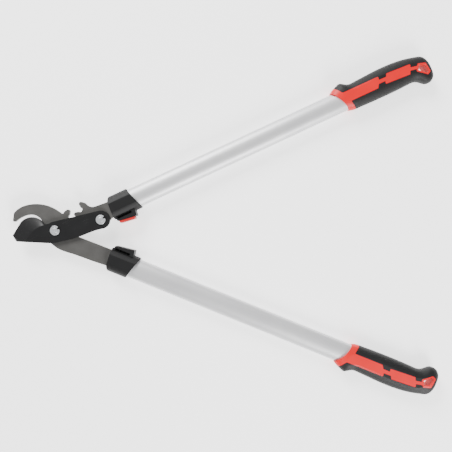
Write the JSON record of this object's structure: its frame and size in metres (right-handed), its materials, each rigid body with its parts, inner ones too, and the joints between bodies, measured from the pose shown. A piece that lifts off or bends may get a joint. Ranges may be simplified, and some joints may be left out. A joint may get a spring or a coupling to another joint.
{
  "type": "bypass loppers",
  "caption": "Long-handled bypass loppers with a curved blade, an anvil hook, geared levers, oval tube handles and two-colour grips.",
  "frame": {"origin": "middle of the bounding box in plan, on the plane that the loppers lie on", "axes": "+X along the loppers from the jaws to the handles, +Y towards the upper handle, +Z out of the face with the bolt heads"},
  "size_m": [0.6822, 0.542, 0.028],
  "materials": {
    "coated_steel": "satin black non-stick coating",
    "lever_steel": "hardened steel, fine ground, dull",
    "plated_steel": "bright zinc plated",
    "tube_aluminium": "satin anodised",
    "black_plastic": "moulded, fine spark texture",
    "red_plastic": "moulded, satin",
    "black_rubber": "soft overmould, fine grain",
    "red_rubber": "soft rubber"
  },
  "bodies": {
    "head": {"blade": "coated_steel", "main_bolt": "plated_steel", "main_washer": "plated_steel", "main_nut": "plated_steel", "link_bolt": "plated_steel", "link_washer": "plated_steel", "link_nut": "plated_steel"},
    "lower_handle": {"hook_lever": "lever_steel", "lower_tang_insert": "black_plastic", "lower_tang_rivets": "plated_steel", "lower_tube": "tube_aluminium", "lower_collar": "black_plastic", "lower_grip_core": "red_plastic", "lower_grip_cover": "black_rubber"},
    "upper_handle": {"gear_lever": "lever_steel", "upper_tang_insert": "black_plastic", "upper_tang_rivets": "plated_steel", "upper_tube": "tube_aluminium", "upper_collar": "black_plastic", "upper_bumper": "red_rubber", "upper_grip_core": "red_plastic", "upper_grip_cover": "black_rubber"}
  },
  "joints": [
    {"name": "lower_handle_swing", "type": "hinge", "parent": "head", "child": "lower_handle", "pos_m": [-0.27196, -0.00806, 0.014], "axis": [0, 0, 1], "range_deg": [-30, 16.5]},
    {"name": "upper_handle_swing", "type": "hinge", "parent": "head", "child": "upper_handle", "pos_m": [-0.19898, 0.0092, 0.014], "axis": [0, 0, 1], "range_deg": [-14.15, 25.72]}
  ],
  "couplings": [
    {"joint": "upper_handle_swing", "follows": "lower_handle_swing", "ratio": -0.85714}
  ]
}
